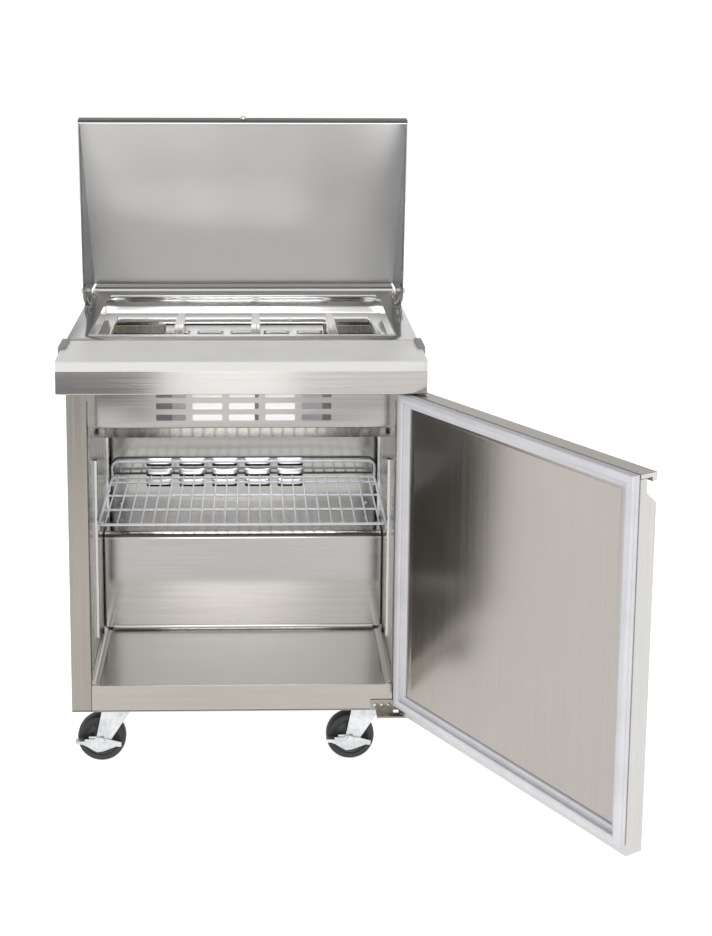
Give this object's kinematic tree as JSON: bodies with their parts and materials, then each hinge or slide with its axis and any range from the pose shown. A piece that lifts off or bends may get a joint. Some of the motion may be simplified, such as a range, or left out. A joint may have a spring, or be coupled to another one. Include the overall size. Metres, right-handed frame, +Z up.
{
  "type": "undercounter refrigerator",
  "caption": "Undercounter preparation refrigerator on swivel casters, with a hinged door, a raised hood lid over a pan well, a cutting board and a wire shelf.",
  "frame": {"origin": "centre of the underside of the cabinet's base plate, above the middle of the four casters", "axes": "+X to the right seen from the front, +Y to the rear, +Z up"},
  "size_m": [1.0727, 1.3917, 1.335],
  "materials": {
    "brushed_steel": "satin",
    "bright_steel": "gloss",
    "zinc": "satin",
    "white_board": "matte",
    "grey_plastic": "satin",
    "grey_gasket": "matte",
    "tyre": "matte",
    "coated_wire": "satin",
    "fin_aluminium": "satin",
    "black_paint": "satin",
    "black_plastic": "satin"
  },
  "bodies": {
    "cabinet": {"base_plate": "brushed_steel", "wall_left": "brushed_steel", "wall_right": "brushed_steel", "wall_rear": "brushed_steel", "floor_panel": "brushed_steel", "step_panel": "brushed_steel", "worktop": "brushed_steel", "pan_well": "bright_steel", "board_clip_left": "grey_plastic", "board_clip_right": "grey_plastic", "lid_cheek_left": "brushed_steel", "lid_bolt_left": "zinc", "lid_cheek_right": "brushed_steel", "lid_bolt_right": "zinc", "hinge_bracket_bottom": "brushed_steel", "hinge_bracket_top": "brushed_steel", "air_baffle": "brushed_steel", "evaporator_cover": "brushed_steel", "evaporator_coil": "fin_aluminium", "pilaster_front_left": "brushed_steel", "shelf_clip_front_left": "brushed_steel", "pilaster_front_right": "brushed_steel", "shelf_clip_front_right": "brushed_steel", "pilaster_rear_left": "brushed_steel", "shelf_clip_rear_left": "brushed_steel", "pilaster_rear_right": "brushed_steel", "shelf_clip_rear_right": "brushed_steel", "compressor": "black_paint", "condenser_coil": "black_paint", "rear_grille": "brushed_steel", "cord_gland": "black_plastic", "caster_plate_front_left": "zinc", "caster_plate_front_right": "zinc", "caster_plate_rear_left": "zinc", "caster_plate_rear_right": "zinc"},
    "lid": {"lid_hood": "bright_steel", "lid_knob": "zinc"},
    "door": {"door_panel": "brushed_steel", "door_lining": "bright_steel", "door_gasket": "grey_gasket", "door_handle": "bright_steel"},
    "board": {"cutting_board": "white_board"},
    "bar_1": {"adapter_bar_1": "bright_steel"},
    "bar_2": {"adapter_bar_2": "bright_steel"},
    "bar_3": {"adapter_bar_3": "bright_steel"},
    "shelf": {"wire_shelf": "coated_wire"},
    "evaporator_rotor": {"evaporator_fan": "black_plastic"},
    "condenser_rotor": {"condenser_fan": "black_plastic"},
    "swivel_front_left": {"caster_fork_front_left": "zinc"},
    "wheel_front_left": {"caster_wheel_front_left": "tyre"},
    "pedal_front_left": {"brake_pedal_front_left": "zinc"},
    "swivel_front_right": {"caster_fork_front_right": "zinc"},
    "wheel_front_right": {"caster_wheel_front_right": "tyre"},
    "pedal_front_right": {"brake_pedal_front_right": "zinc"},
    "swivel_rear_left": {"caster_fork_rear_left": "zinc"},
    "wheel_rear_left": {"caster_wheel_rear_left": "tyre"},
    "swivel_rear_right": {"caster_fork_rear_right": "zinc"},
    "wheel_rear_right": {"caster_wheel_rear_right": "tyre"}
  },
  "joints": [
    {"name": "lid_hinge", "type": "hinge", "parent": "cabinet", "child": "lid", "pos_m": [0, 0.124, 0.795], "axis": [1, 0, 0], "range_deg": [0, 84]},
    {"name": "door_hinge", "type": "hinge", "parent": "cabinet", "child": "door", "pos_m": [0.329, -0.412, 0], "axis": [0, 0, 1], "range_deg": [-121, 2]},
    {"name": "board_slide", "type": "slide", "parent": "cabinet", "child": "board", "axis": [0, -1, 0], "range_m": [0, 0.06]},
    {"name": "bar_1_lift", "type": "slide", "parent": "cabinet", "child": "bar_1", "axis": [0, 0, 1], "range_m": [0, 0.05]},
    {"name": "bar_2_lift", "type": "slide", "parent": "cabinet", "child": "bar_2", "axis": [0, 0, 1], "range_m": [0, 0.05]},
    {"name": "bar_3_lift", "type": "slide", "parent": "cabinet", "child": "bar_3", "axis": [0, 0, 1], "range_m": [0, 0.05]},
    {"name": "shelf_lift", "type": "slide", "parent": "cabinet", "child": "shelf", "axis": [0, 0, 1], "range_m": [0, 0.03]},
    {"name": "evaporator_fan_spin", "type": "hinge", "parent": "cabinet", "child": "evaporator_rotor", "pos_m": [-0.044, 0.2, 0.38], "axis": [0, 1, 0], "continuous": true},
    {"name": "condenser_fan_spin", "type": "hinge", "parent": "cabinet", "child": "condenser_rotor", "pos_m": [0.16, 0.27, 0.112], "axis": [0, 1, 0], "continuous": true},
    {"name": "caster_swivel_front_left", "type": "hinge", "parent": "cabinet", "child": "swivel_front_left", "pos_m": [-0.263, -0.33, 0], "axis": [0, 0, 1], "continuous": true},
    {"name": "caster_roll_front_left", "type": "hinge", "parent": "swivel_front_left", "child": "wheel_front_left", "pos_m": [-0.298, -0.33, -0.0802], "axis": [0, 1, 0], "continuous": true},
    {"name": "brake_pedal_tilt_front_left", "type": "hinge", "parent": "swivel_front_left", "child": "pedal_front_left", "pos_m": [-0.298, -0.33, -0.0802], "axis": [0, 1, 0], "range_deg": [-12, 0]},
    {"name": "caster_swivel_front_right", "type": "hinge", "parent": "cabinet", "child": "swivel_front_right", "pos_m": [0.263, -0.33, 0], "axis": [0, 0, 1], "continuous": true},
    {"name": "caster_roll_front_right", "type": "hinge", "parent": "swivel_front_right", "child": "wheel_front_right", "pos_m": [0.228, -0.33, -0.0802], "axis": [0, 1, 0], "continuous": true},
    {"name": "brake_pedal_tilt_front_right", "type": "hinge", "parent": "swivel_front_right", "child": "pedal_front_right", "pos_m": [0.228, -0.33, -0.0802], "axis": [0, 1, 0], "range_deg": [-12, 0]},
    {"name": "caster_swivel_rear_left", "type": "hinge", "parent": "cabinet", "child": "swivel_rear_left", "pos_m": [-0.263, 0.33, 0], "axis": [0, 0, 1], "continuous": true},
    {"name": "caster_roll_rear_left", "type": "hinge", "parent": "swivel_rear_left", "child": "wheel_rear_left", "pos_m": [-0.298, 0.33, -0.0802], "axis": [0, 1, 0], "continuous": true},
    {"name": "caster_swivel_rear_right", "type": "hinge", "parent": "cabinet", "child": "swivel_rear_right", "pos_m": [0.263, 0.33, 0], "axis": [0, 0, 1], "continuous": true},
    {"name": "caster_roll_rear_right", "type": "hinge", "parent": "swivel_rear_right", "child": "wheel_rear_right", "pos_m": [0.228, 0.33, -0.0802], "axis": [0, 1, 0], "continuous": true}
  ]
}
